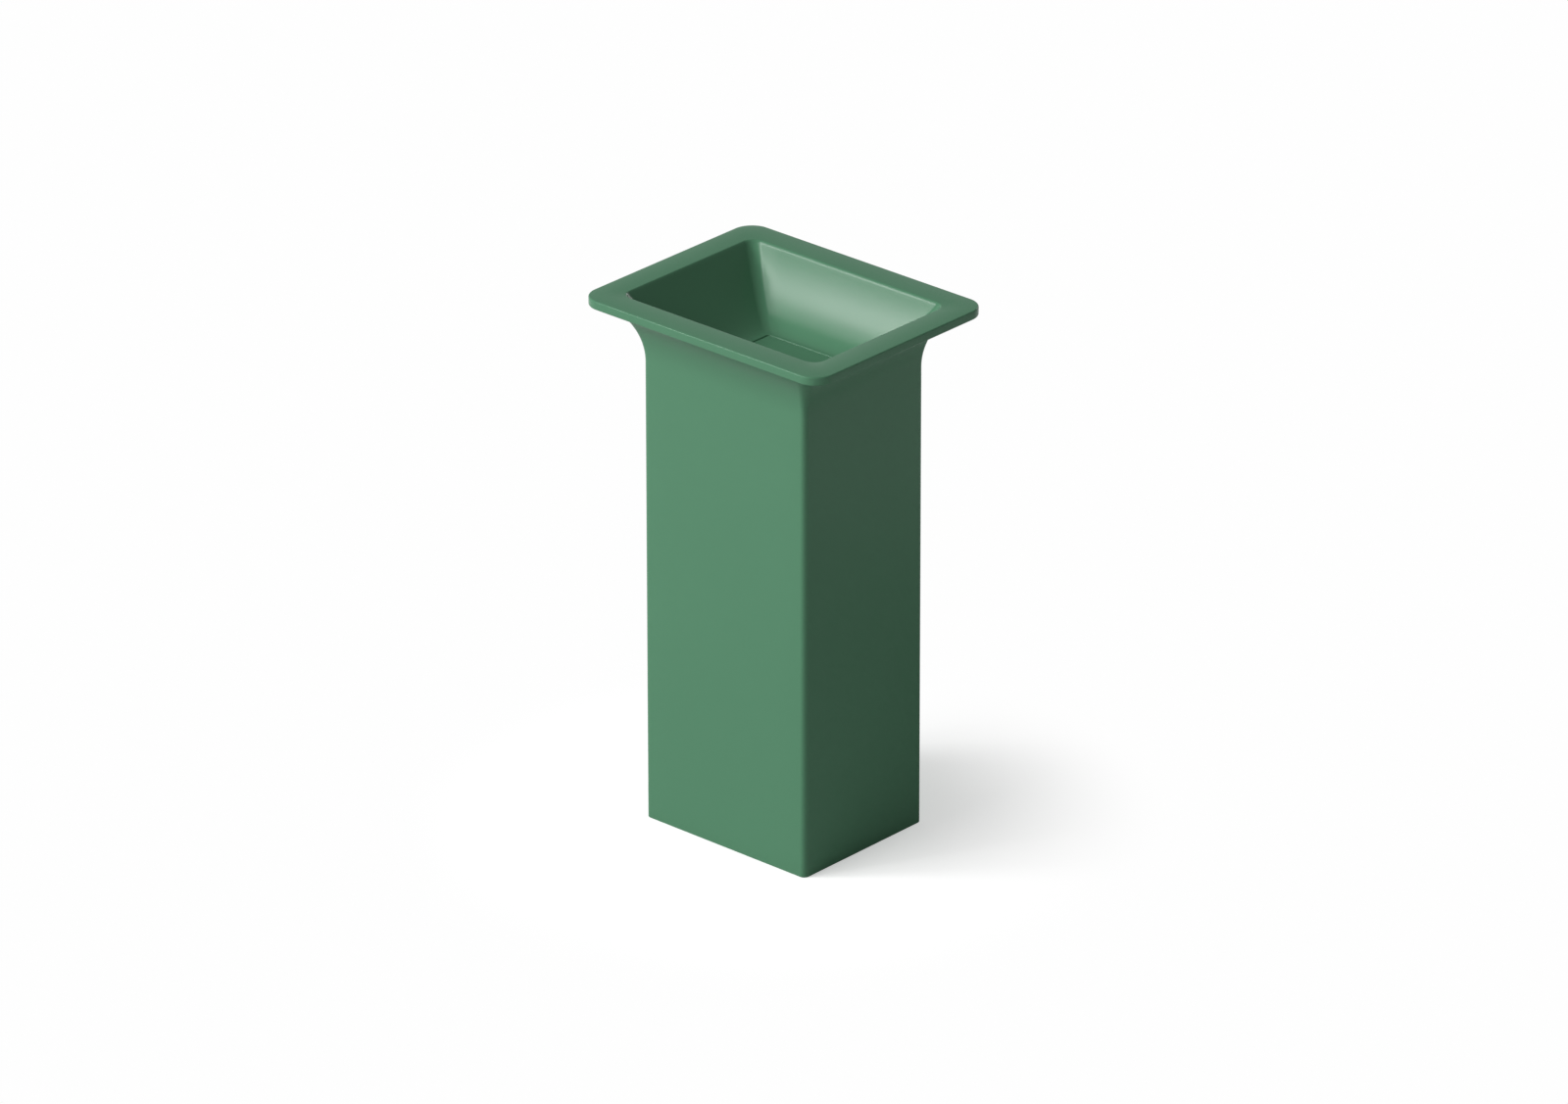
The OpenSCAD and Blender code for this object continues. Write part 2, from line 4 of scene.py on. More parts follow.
import bmesh
import bpy
import numpy as np
from mathutils import Matrix, Vector


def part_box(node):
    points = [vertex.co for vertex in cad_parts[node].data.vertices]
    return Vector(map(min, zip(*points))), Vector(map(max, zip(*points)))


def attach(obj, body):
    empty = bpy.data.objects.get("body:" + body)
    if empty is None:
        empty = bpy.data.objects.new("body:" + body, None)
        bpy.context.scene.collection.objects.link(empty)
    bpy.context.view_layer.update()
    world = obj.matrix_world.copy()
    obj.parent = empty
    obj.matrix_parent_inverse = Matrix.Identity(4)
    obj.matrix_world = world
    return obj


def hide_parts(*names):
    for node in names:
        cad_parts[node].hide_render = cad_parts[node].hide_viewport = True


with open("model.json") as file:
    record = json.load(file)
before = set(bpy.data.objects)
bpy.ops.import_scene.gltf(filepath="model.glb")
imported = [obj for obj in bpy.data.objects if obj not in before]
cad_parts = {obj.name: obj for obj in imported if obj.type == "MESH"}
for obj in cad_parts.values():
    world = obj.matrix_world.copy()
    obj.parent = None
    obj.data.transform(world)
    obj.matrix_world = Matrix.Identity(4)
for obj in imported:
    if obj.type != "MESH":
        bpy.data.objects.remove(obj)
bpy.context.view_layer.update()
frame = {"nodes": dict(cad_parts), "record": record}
print("frame loaded:", len(frame["nodes"]), "nodes")

scene = bpy.context.scene
scene.view_settings.view_transform = "Standard"
mm = 0.001

boxOf = {node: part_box(node) for node in frame["nodes"]}
bodyOf = {node: body for body, nodes in frame["record"]["behaviour"]["bodies"].items() for node in nodes}
slotOf = {row["node"]: row["material_slot"] for row in frame["record"]["subparts"]}
columnTop = boxOf["column"][1]
rimTop = boxOf["basin"][1]
coverTop = boxOf["drain_cover"][1]


cameraView = {
    "sensor": 36,          # mm
    "lens": 260.9,         # mm
    "azimuth": 41.944,     # degrees, turned from the front towards the right side
    "elevation": 24.622,
    "roll": -0.045,
    "distance": 17.922,    # metres from the aim point
    "aim": (0.0, 0.0, 0.45),
    "slide": (0.0007, 0.0158),  # metres to the right and up
}


def makeCamera(view):
    # The camera stands at its distance from the aim point, along the unit direction of azimuth and
    # elevation, slides in its own plane, and looks back along that direction, turned by the roll
    data = bpy.data.cameras.new("photoCamera")
    data.sensor_width, data.lens = view["sensor"], view["lens"]
    camera = bpy.data.objects.new("photoCamera", data)
    scene.collection.objects.link(camera)
    turn, rise = math.radians(view["azimuth"]), math.radians(view["elevation"])
    back = Vector((math.sin(turn) * math.cos(rise), -math.cos(turn) * math.cos(rise), math.sin(rise)))
    right = Vector((math.cos(turn), math.sin(turn), 0))
    up = back.cross(right)
    slideRight, slideUp = view["slide"]
    stand = Vector(view["aim"]) + back * view["distance"] + right * slideRight + up * slideUp
    turned = Matrix((right, up, back)).transposed().to_4x4()
    roll = Matrix.Rotation(math.radians(view["roll"]), 4, "Z")
    camera.matrix_world = Matrix.Translation(stand) @ turned @ roll
    scene.camera = camera


makeCamera(cameraView)


# A ring is a rounded rectangle that lies flat: half width, half depth, corner radius, height
outwards = np.array([1, 1, 1, 0.0])
upwards = np.array([0, 0, 0, 1.0])


def ringOf(halfX, halfY, corner, height):
    return np.array([halfX, halfY, corner, height], float)


def roundedPattern(cornerSteps, stepsX, stepsY):
    # Every point of a rounded rectangle lies on a corner arc or on the straight run to the next arc.
    # Row: signs, cosine and sine of the arc point before it and after it, and the share between them.
    signs = np.array([(1, 1), (-1, 1), (-1, -1), (1, -1)], float)
    rows = []
    for quarter in range(4):
        angle = np.pi / 2 * (quarter + np.linspace(0, 1, cornerSteps + 1))
        arc = np.column_stack([np.tile(signs[quarter], (len(angle), 1)), np.cos(angle), np.sin(angle)])
        rows.append(np.column_stack([arc, arc, np.zeros(len(arc))]))
        steps = (stepsX, stepsY)[quarter % 2]
        nextStart = np.concatenate([signs[(quarter + 1) % 4], arc[-1, 2:]])
        run = np.tile(np.concatenate([arc[-1], nextStart]), (steps - 1, 1))
        rows.append(np.column_stack([run, np.arange(1, steps) / steps]))
    return np.concatenate(rows)


def roundedRings(pattern, halfA, halfB, radius):
    # Ring point = corner centre + radius * direction, blended along the straight runs
    halfA, halfB, radius = (np.asarray(values, float)[:, None] for values in (halfA, halfB, radius))
    share = pattern[:, 8]
    points = []
    for axis, half in ((0, halfA), (1, halfB)):
        before = pattern[:, axis] * (half - radius) + radius * pattern[:, 2 + axis]
        after = pattern[:, 4 + axis] * (half - radius) + radius * pattern[:, 6 + axis]
        points.append(before * (1 - share) + after * share)
    return np.stack(points, axis=-1)


def levelRings(pattern, rings):
    # Points of flat rings, one grid row for each ring, at the ring's height
    halfX, halfY, corner, height = np.asarray(rings, float).T
    flat = roundedRings(pattern, halfX, halfY, corner)
    tall = np.broadcast_to(height[:, None, None], flat.shape[:2] + (1,))
    return np.concatenate([flat, tall], axis=-1)


def curveBetween(start, pull, end, steps):
    # Quadratic curve of rings: (1-t)^2 * start + 2t(1-t) * pull + t^2 * end, for t from 0 to 1
    t = np.linspace(0, 1, steps + 1)[:, None]
    start, pull, end = (np.asarray(ring, float) for ring in (start, pull, end))
    return (1 - t) ** 2 * start + 2 * t * (1 - t) * pull + t ** 2 * end


def quarterRound(ring, size, steps, startAngle, turn=90):
    # Rings round an edge: half sizes and corner grow by size * cos, the height by size * sin
    angle = np.radians(startAngle + np.linspace(0, turn, steps + 1))[:, None]
    return np.asarray(ring, float) + size * np.cos(angle) * outwards + size * np.sin(angle) * upwards


meshFinish = {
    "weld": 2e-6,           # metres within which points are one
    "thinnest": 1e-7,       # metres under which an edge has no length
    "shellSharp": 38,       # degrees between faces past which an edge is drawn sharp
    "hardwareSharp": 35,    # the same on hardware, where such an edge is also rounded
    "hardwareFlat": 0.5,    # degrees under which neighbouring faces are one
}


def gridFaces(rows, columns, wrapRows, wrapColumns):
    # Each face joins a grid point, the next in its row and the two above them
    row = np.arange(rows if wrapRows else rows - 1)[:, None]
    column = np.arange(columns if wrapColumns else columns - 1)[None, :]
    low, high = row * columns, (row + 1) % rows * columns
    following = (column + 1) % columns
    corners = [low + column, low + following, high + following, high + column]
    return np.stack(corners, axis=-1).reshape(-1, 4)


def addPiece(name, mesh, sharpAngle):
    # Shaded smooth, apart from edges where the faces turn by more than the angle
    mesh.polygons.foreach_set("use_smooth", np.ones(len(mesh.polygons), bool))
    mesh.set_sharp_from_angle(angle=math.radians(sharpAngle))
    mesh.update()
    piece = bpy.data.objects.new(name, mesh)
    scene.collection.objects.link(piece)
    return piece


def shellFromGrids(name, grids, caps=()):
    # grids: (points[rows, columns, 3], wrapRows, wrapColumns); caps: points of flat end faces.
    # Shared borders are welded, then all faces are turned outwards.
    points, faces, start = [], [], 0
    for grid, wrapRows, wrapColumns in grids:
        points.append(grid.reshape(-1, 3))
        faces.extend((gridFaces(*grid.shape[:2], wrapRows, wrapColumns) + start).tolist())
        start += len(points[-1])
    for cap in caps:
        points.append(cap)
        faces.append(list(range(start, start + len(cap))))
        start += len(cap)
    mesh = bpy.data.meshes.new(name)
    mesh.from_pydata(np.concatenate(points), [], faces)
    work = bmesh.new()
    work.from_mesh(mesh)
    bmesh.ops.remove_doubles(work, verts=work.verts, dist=meshFinish["weld"])
    bmesh.ops.dissolve_degenerate(work, edges=work.edges, dist=meshFinish["thinnest"])
    bmesh.ops.recalc_face_normals(work, faces=work.faces)
    work.to_mesh(mesh)
    work.free()
    return addPiece(name, mesh, meshFinish["shellSharp"])


def addNode(tree, kind, values=None, **settings):
    # values go to the inputs, settings to the node itself
    node = tree.nodes.new(kind)
    for key, value in settings.items():
        setattr(node, key, value)
    for key, value in (values or {}).items():
        node.inputs[key].default_value = value
    return node


def calc(tree, operation, *values):
    # One sum, whose values are sockets or plain numbers
    node = addNode(tree, "ShaderNodeMath", operation=operation)
    for value, target in zip(values, node.inputs):
        if isinstance(value, (int, float)):
            target.default_value = value
        else:
            tree.links.new(value, target)
    return node.outputs[0]


def smoothRamp(tree, value, span=(0.0, 1.0), ends=(0.0, 1.0)):
    # Goes from the first end to the second on an S-shaped curve while the value crosses the span
    limits = {"From Min": span[0], "From Max": span[1], "To Min": ends[0], "To Max": ends[1]}
    node = addNode(tree, "ShaderNodeMapRange", limits, interpolation_type="SMOOTHSTEP")
    tree.links.new(value, node.inputs["Value"])
    return node


def newGroup(name, inputs, outputs):
    # A group comes back with what it is given and what it has to make, seen from inside
    group = bpy.data.node_groups.new(name, "ShaderNodeTree")
    for label, kind, value in inputs:
        socket = group.interface.new_socket(label, in_out="INPUT", socket_type=kind)
        if value is not None:
            socket.default_value = value
    for label, kind in outputs:
        group.interface.new_socket(label, in_out="OUTPUT", socket_type=kind)
    return group, group.nodes.new("NodeGroupInput").outputs, group.nodes.new("NodeGroupOutput").inputs


def addNoise(group, given, scale, values):
    # Noise from 0 to 1 at one of the group's own scales
    noise = addNode(group, "ShaderNodeTexNoise", values)
    group.links.new(given["Vector"], noise.inputs["Vector"])
    group.links.new(given[scale], noise.inputs["Scale"])
    return noise.outputs["Fac"]


def makeToneGroup():
    # With each noise less 0.5: colour * (1 + cloud * its amount + grain * its amount), and
    # roughness + cloud * roughness spread. The height is the grain.
    group, given, made = newGroup("castTone", [
        ("Vector", "NodeSocketVector", None),
        ("Color", "NodeSocketColor", (0.1, 0.25, 0.15, 1)),
        ("Cloud Scale", "NodeSocketFloat", 6.0),
        ("Cloud Amount", "NodeSocketFloat", 0.04),
        ("Grain Scale", "NodeSocketFloat", 900.0),
        ("Grain Amount", "NodeSocketFloat", 0.03),
        ("Roughness", "NodeSocketFloat", 0.4),
        ("Roughness Spread", "NodeSocketFloat", 0.05),
    ], [("Color", "NodeSocketColor"), ("Roughness", "NodeSocketFloat"), ("Height", "NodeSocketFloat")])
    link = group.links.new
    cloud = addNoise(group, given, "Cloud Scale", {"Detail": 3.0, "Roughness": 0.5})
    grain = addNoise(group, given, "Grain Scale", {"Detail": 2.0, "Roughness": 0.6})
    cloudOff, grainOff = (calc(group, "SUBTRACT", noise, 0.5) for noise in (cloud, grain))
    clouded = calc(group, "MULTIPLY", cloudOff, given["Cloud Amount"])
    grained = calc(group, "MULTIPLY", grainOff, given["Grain Amount"])
    gain = calc(group, "ADD", calc(group, "ADD", clouded, grained), 1.0)
    tint = addNode(group, "ShaderNodeVectorMath", operation="SCALE")
    link(given["Color"], tint.inputs[0])
    link(gain, tint.inputs["Scale"])
    link(tint.outputs[0], made["Color"])
    rough = calc(group, "MULTIPLY_ADD", cloudOff, given["Roughness Spread"], given["Roughness"])
    link(rough, made["Roughness"])
    link(grain, made["Height"])
    return group


def makeSmudgeGroup():
    # Faint water marks and smudges as a mask from 0 to 1
    group, given, made = newGroup("smudge", [
        ("Vector", "NodeSocketVector", None),
        ("Scale", "NodeSocketFloat", 20.0),
        ("Low", "NodeSocketFloat", 0.5),
        ("High", "NodeSocketFloat", 0.8),
    ], [("Mask", "NodeSocketFloat")])
    noise = addNoise(group, given, "Scale", {"Detail": 6.0, "Roughness": 0.65, "Distortion": 0.4})
    ramp = smoothRamp(group, noise)
    group.links.new(given["Low"], ramp.inputs["From Min"])
    group.links.new(given["High"], ramp.inputs["From Max"])
    group.links.new(ramp.outputs["Result"], made["Mask"])
    return group


toneGroup = makeToneGroup()
smudgeGroup = makeSmudgeGroup()
toneSockets = ("Cloud Scale", "Cloud Amount", "Grain Scale", "Grain Amount",
               "Roughness", "Roughness Spread")


def makeMaterial(name, spec):
    # Colour, roughness and bump come from the tone group, and smudges add to the roughness
    material = bpy.data.materials.new(name)
    material.use_nodes = True
    tree = material.node_tree
    shader = tree.nodes["Principled BSDF"]
    link = tree.links.new
    coords = addNode(tree, "ShaderNodeTexCoord")
    stretch = addNode(tree, "ShaderNodeMapping", {"Scale": spec["stretch"]})
    tone = addNode(tree, "ShaderNodeGroup", node_tree=toneGroup)
    smudge = addNode(tree, "ShaderNodeGroup", node_tree=smudgeGroup)
    link(coords.outputs["Object"], stretch.inputs["Vector"])
    for target in (tone, smudge):
        link(stretch.outputs["Vector"], target.inputs["Vector"])
    tone.inputs["Color"].default_value = (*spec["color"], 1)
    for label in toneSockets:
        tone.inputs[label].default_value = spec[label]
    smudge.inputs["Scale"].default_value = spec["smudgeScale"]
    smudge.inputs["Low"].default_value, smudge.inputs["High"].default_value = spec["smudgeRange"]
    marked = calc(tree, "MULTIPLY", smudge.outputs["Mask"], spec["smudgeRough"])
    rough = calc(tree, "ADD", marked, tone.outputs["Roughness"])
    bump = addNode(tree, "ShaderNodeBump", {"Strength": spec["bump"], "Distance": spec["bumpDepth"]})
    link(tone.outputs["Height"], bump.inputs["Height"])
    link(tone.outputs["Color"], shader.inputs["Base Color"])
    link(rough, shader.inputs["Roughness"])
    link(bump.outputs["Normal"], shader.inputs["Normal"])
    for label, value in spec["sockets"].items():
        shader.inputs[label].default_value = value
    return material


# Filled resin, coloured through: satin, with a fine grain and faint water marks
greenCast = {
    "color": (0.091, 0.239, 0.139), "stretch": (1, 1, 1),
    "Cloud Scale": 5.0, "Cloud Amount": 0.05, "Grain Scale": 1400.0, "Grain Amount": 0.05,
    "Roughness": 0.20, "Roughness Spread": 0.02,
    "smudgeScale": 14.0, "smudgeRange": (0.55, 0.85), "smudgeRough": 0.03,
    "bump": 0.12, "bumpDepth": 0.2 * mm,
    "sockets": {"Specular IOR Level": 0.12},
}
plasticMoulded = {
    "color": (0.78, 0.78, 0.75), "stretch": (1, 1, 1),
    "Cloud Scale": 12.0, "Cloud Amount": 0.03, "Grain Scale": 1200.0, "Grain Amount": 0.02,
    "Roughness": 0.38, "Roughness Spread": 0.08,
    "smudgeScale": 40.0, "smudgeRange": (0.5, 0.8), "smudgeRough": 0.06,
    "bump": 0.15, "bumpDepth": 0.2 * mm,
    "sockets": {},
}
bareMetal = {**plasticMoulded, "sockets": {"Metallic": 1.0}}
finishes = {
    "green_casting": greenCast,
    "green_cover": {**greenCast, "Cloud Scale": 9.0},
    "rubber": {**plasticMoulded, "color": (0.02, 0.02, 0.021), "Roughness": 0.72,
               "Grain Amount": 0.3, "bump": 0.3, "smudgeRough": 0.1},
    "chromed_brass": {**bareMetal, "color": (0.78, 0.79, 0.8), "Roughness": 0.12,
                      "Grain Amount": 0.01, "bump": 0.02, "smudgeRough": 0.12},
    "white_plastic": plasticMoulded,
    "grey_plastic": {**plasticMoulded, "color": (0.28, 0.29, 0.3), "Roughness": 0.42,
                     "stretch": (1, 1, 0.05)},
    "steel": {**bareMetal, "color": (0.6, 0.61, 0.62), "Roughness": 0.34,
              "Grain Amount": 0.12, "stretch": (1, 0.06, 1)},
    "brass": {**bareMetal, "color": (0.72, 0.5, 0.2), "Roughness": 0.28, "Grain Amount": 0.08},
    "magnet_nickel": {**bareMetal, "color": (0.66, 0.64, 0.6), "Roughness": 0.2},
}
materials = {slotName: makeMaterial(slotName, spec) for slotName, spec in finishes.items()}
print("materials made:", len(materials))


def giveFinish(piece, slotName):
    piece.data.materials.clear()
    piece.data.materials.append(materials[slotName])


def standFor(piece, node):
    # The piece takes the node's finish, moves with the node's body and hides the node
    giveFinish(piece, slotOf[node])
    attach(piece, bodyOf[node])
    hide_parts(node)


basinForm = {
    "rimThickness": 15 * mm,
    "rimCorner": 36 * mm,
    "rimEdge": 2.5 * mm,
    "columnCorner": 10 * mm,
    "wall": 12 * mm,
    "innerCorner": 6 * mm,
    "flareHeight": 94 * mm,
    "flareRadius": 128 * mm,
    "flareSoft": 0.5,        # share of the spread by which the corners grow rounder
    "underFillet": 2 * mm,
    "opening": (200 * mm, 150 * mm),
    "openingCorner": 18 * mm,
    "lip": 5 * mm,
    "bend": 0.35,            # share of the wall's inward run that its curve keeps
    "floorCorner": 8 * mm,
    "ledge": 3 * mm,
    "coverGap": 3 * mm,
    "recessDepth": 40 * mm,
    "recessCorner": 4.5 * mm,
    "recessEdge": 2.0 * mm,
    "recessFillet": 2.5 * mm,
    "wasteHole": 22.5 * mm,
    "holeEdge": 0.5 * mm,
    "bowlSide": 8 * mm,
    "bowlBase": 12 * mm,
    "cornerSteps": 20, "sideSteps": 8, "edgeSteps": 8, "filletSteps": 6, "holeSteps": 3,
    "flareRings": 50, "lipSteps": 10, "wallSteps": 48,
}


def basinSection(form):
    # The basin is one closed surface: its section is a list of rings, from the skirt's inner edge
    # outwards, up the flare, round the rim, down the bowl, through the waste hole and back under the
    # bowl. The flare goes outwards by radius * (1 - cos) and up by radius * sin.
    corner, wall = form["columnCorner"], form["wall"]
    skirt = ringOf(columnTop.x, columnTop.y, corner, columnTop.z)
    hollow = ringOf(columnTop.x - wall, columnTop.y - wall, form["innerCorner"], columnTop.z)
    rimUnder = rimTop.z - form["rimThickness"]
    radius, rise = form["flareRadius"], form["flareHeight"]
    turn = np.linspace(0, math.asin(rise / radius), form["flareRings"])[:, None]
    flare = skirt + radius * (1 - np.cos(turn)) * np.array([1, 1, form["flareSoft"], 0])
    flare[:, 3:] = rimUnder - rise + radius * np.sin(turn)

    edge, steps = form["rimEdge"], form["edgeSteps"]
    rimBase = ringOf(rimTop.x - edge, rimTop.y - edge, form["rimCorner"] - edge, rimUnder + edge)
    rimHead = rimBase.copy()
    rimHead[3] = rimTop.z - edge
    rimEdges = [quarterRound(rimBase, edge, steps, -90), quarterRound(rimHead, edge, steps, 0)]
    underEnd = flare[-1] + form["underFillet"] * outwards
    underFillet = curveBetween(flare[-2], (*flare[-1][:3], rimUnder), underEnd, form["filletSteps"])

    gap, lip, mouthCorner = form["coverGap"], form["lip"], form["openingCorner"]
    recess = ringOf(coverTop.x + gap, coverTop.y + gap, form["recessCorner"], coverTop.z)
    floorHalf = recess[:2] + form["ledge"]
    opening = np.array(form["opening"])
    bendHalf = floorHalf + form["bend"] * (opening - floorHalf)
    lipHeight = rimTop.z - lip
    lean = (opening - bendHalf) / (lipHeight - coverTop.z)
    lipOuter = ringOf(*(opening + lip), mouthCorner + lip, rimTop.z)
    lipBend = ringOf(*(opening + lean * lip), mouthCorner + lean[1] * lip, rimTop.z)
    wallTop = ringOf(*opening, mouthCorner, lipHeight)
    wallBend = ringOf(*bendHalf, (mouthCorner + form["floorCorner"]) / 2, coverTop.z)
    wallFoot = ringOf(*floorHalf, form["floorCorner"], coverTop.z)
    lipRows = curveBetween(lipOuter, lipBend, wallTop, form["lipSteps"])
    wallRows = curveBetween(wallTop, wallBend, wallFoot, form["wallSteps"])[1:]

    curl, fillet, depth = form["recessEdge"], form["recessFillet"], form["recessDepth"]
    recessEdge = quarterRound(recess + curl * (outwards - upwards), curl, steps, 90)
    footRing = recess - ringOf(fillet, fillet, fillet, depth - fillet)
    recessFoot = quarterRound(footRing, fillet, form["filletSteps"], 0, -90)
    hole, burr, base = form["wasteHole"], form["holeEdge"], form["bowlBase"]
    holeTop = ringOf(hole, hole, hole, coverTop.z - depth)
    holeEdge = quarterRound(holeTop + burr * (outwards - upwards), burr, form["holeSteps"], 90)
    holeEnd = holeTop - base * upwards

    # the underside follows the bowl's wall until it meets the skirt
    side = form["bowlSide"]
    baseFoot = recess + side * outwards - (depth + base) * upwards
    baseTop = recess + side * outwards - base * upwards
    underBowl = wallRows[::-1] + side * outwards - base * upwards
    underBowl = underBowl[underBowl[:, 0] < hollow[0]]
    underBowl[:, 1] = np.minimum(underBowl[:, 1], hollow[1])
    hollowTop = hollow.copy()
    hollowTop[3] = underBowl[-1, 3]

    return np.concatenate([
        [hollow, skirt], flare[:-2], underFillet, *rimEdges, lipRows, wallRows,
        recessEdge, recessFoot, holeEdge, [holeEnd, baseFoot, baseTop], underBowl, [hollowTop],
    ])


basinPattern = roundedPattern(basinForm["cornerSteps"], basinForm["sideSteps"], basinForm["sideSteps"])
basinRings = levelRings(basinPattern, basinSection(basinForm))
basinPiece = shellFromGrids("basinShell", [(basinRings, True, True)])
standFor(basinPiece, "basin")
print("basin made:", len(basinPiece.data.polygons), "faces")


columnForm = {
    "footEdge": 1.0 * mm,
    "footWall": 22 * mm,
    "footHeight": 60 * mm,
    "panelGap": 2 * mm,
    "panelCorner": 12 * mm,
    "panelLedge": 14 * mm,
    "ledgeDepth": 6.5 * mm,
    "mouthEdge": 0.6 * mm,
    "mouthBorder": 2 * mm,   # flat ring round the seat outside and round the opening inside
    "rowSteps": 24, "footSteps": 5, "mouthSteps": 4,
}


def columnGrids(form, basin):
    # The walls are rings up the outside and the inside that leave out the rear wall, which is a grid
    # of upright rounded rectangles: from its border to the panel's seat, through it and out inside
    pattern = roundedPattern(basin["cornerSteps"], basin["sideSteps"], basin["sideSteps"])
    corner, wall, edge = basin["columnCorner"], basin["wall"], form["footEdge"]
    footWall, footHeight = form["footWall"], form["footHeight"]
    outer = ringOf(columnTop.x, columnTop.y, corner, columnTop.z)
    inner = ringOf(columnTop.x - wall, columnTop.y - wall, basin["innerCorner"], columnTop.z)
    foot = ringOf(columnTop.x - footWall, columnTop.y - footWall, basin["innerCorner"], 0)
    footHead = foot + footHeight * upwards
    innerLow = inner.copy()
    innerLow[3] = footHeight
    footBase = ringOf(columnTop.x - edge, columnTop.y - edge, corner - edge, edge)
    footRound = quarterRound(footBase, edge, form["footSteps"], -90)
    closed = [[footHead, foot, *footRound], [outer, inner], [innerLow, footHead]]
    grids = [(levelRings(pattern, rings), False, True) for rings in closed]
    # the pattern starts again at its second corner arc and stops where the rear wall begins
    skipped = basin["cornerSteps"] + basin["sideSteps"]
    kept = len(pattern) - basin["sideSteps"] + 1
    openPattern = np.roll(pattern, -skipped, axis=0)[:kept]
    for ring, bottom in ((outer, edge), (inner, footHeight)):
        rings = np.repeat(ring[None], form["rowSteps"] + 1, axis=0)
        rings[:, 3] = np.linspace(bottom, columnTop.z, form["rowSteps"] + 1)
        grids.append((levelRings(openPattern, rings), False, False))

    # in the rear wall a row is half width, half height, corner radius, middle height, depth
    low, high = boxOf["service_panel"]
    halfX, halfZ, middle = (high.x - low.x) / 2, (high.z - low.z) / 2, (high.z + low.z) / 2
    gap, ledge, panelCorner = form["panelGap"], form["panelLedge"], form["panelCorner"]
    grow = np.array([1, 1, 1, 0, 0.0])
    deep = np.array([0, 0, 0, 0, 1.0])
    seat = np.array([halfX + gap, halfZ + gap, panelCorner + gap, middle, columnTop.y])
    seatFoot = seat - form["ledgeDepth"] * deep
    clear = np.array([halfX - ledge, halfZ - ledge, panelCorner, middle, seatFoot[4]])
    clearFoot = clear.copy()
    clearFoot[4] = inner[1]
    angle = np.radians(np.linspace(90, 0, form["mouthSteps"] + 1))[:, None]
    mouth = form["mouthEdge"] * ((1 - np.cos(angle)) * grow + (np.sin(angle) - 1) * deep)
    border = form["mouthBorder"] * grow

    def wallEdge(ring, bottom):
        height = columnTop.z - bottom
        return np.array([ring[0] - ring[2], height / 2, 0, bottom + height / 2, ring[1]])

    rows = np.concatenate([
        [wallEdge(outer, edge), seat + border], seat + mouth, [seatFoot], clear + mouth,
        [clearFoot, clearFoot + border, wallEdge(inner, footHeight)],
    ])
    wallPattern = roundedPattern(basin["cornerSteps"], basin["sideSteps"], form["rowSteps"])
    flat = roundedRings(wallPattern, rows[:, 0], rows[:, 1], rows[:, 2])
    depth = np.broadcast_to(rows[:, 4, None], flat.shape[:2])
    rear = np.stack([flat[..., 0], depth, flat[..., 1] + rows[:, 3, None]], axis=-1)
    return grids + [(rear, False, True)]


columnPiece = shellFromGrids("columnShell", columnGrids(columnForm, basinForm))
standFor(columnPiece, "column")
print("column made:", len(columnPiece.data.polygons), "faces")


coverForm = {
    "edge": 0.8 * mm,
    "corner": 3 * mm,
    "border": 0.3 * mm,      # flat ring between a rounded edge and the face that closes it
    "footRadius": 8 * mm,
    "footDome": 2 * mm,
    "footChamfer": (1.0 * mm, 0.4 * mm),  # inwards and down, at the foot's glued end
    "cornerSteps": 10, "sideSteps": 8, "edgeSteps": 6, "domeSteps": 6,
}


def makeDrainPlate(form):
    # Rings round the lower and the upper edge, closed by a flat face at each end
    low, high = boxOf["drain_cover"]
    edge, steps = form["edge"], form["edgeSteps"]
    base = ringOf(high.x - edge, high.y - edge, form["corner"] - edge, low.z + edge)
    head = base.copy()
    head[3] = high.z - edge
    rounds = np.concatenate([quarterRound(base, edge, steps, -90), quarterRound(head, edge, steps, 0)])
    border = form["border"] * outwards
    pattern = roundedPattern(form["cornerSteps"], form["sideSteps"], form["sideSteps"])
    rings = levelRings(pattern, [rounds[0] - border, *rounds, rounds[-1] - border])
    return shellFromGrids("drainPlate", [(rings, False, True)], [rings[0][::-1], rings[-1]])


def makeFeet(form):
    # A foot is a round post: its lower end goes outwards by dome * sin and up by dome * (1 - cos),
    # and its glued end has a chamfer. All four are one piece.
    low, high = boxOf["cover_feet"]
    radius, dome = form["footRadius"], form["footDome"]
    inwards, down = form["footChamfer"]
    angle = np.radians(np.linspace(0, 90, form["domeSteps"] + 1))
    half = np.concatenate([radius - dome + dome * np.sin(angle), [radius, radius - inwards]])
    tall = np.concatenate([low.z + dome - dome * np.cos(angle), [high.z - down, high.z]])
    pattern = roundedPattern(form["cornerSteps"], 1, 1)
    rings = levelRings(pattern, np.stack([half, half, half, tall], axis=1))
    places = [(x, y, 0) for x in (low.x + radius, high.x - radius)
              for y in (low.y + radius, high.y - radius)]
    posts = [rings + np.array(place) for place in places]
    caps = [cap for post in posts for cap in (post[0][::-1], post[-1])]
    return shellFromGrids("coverFeet", [(post, False, True) for post in posts], caps)


standFor(makeDrainPlate(coverForm), "drain_cover")
standFor(makeFeet(coverForm), "cover_feet")
print("cover and feet made")


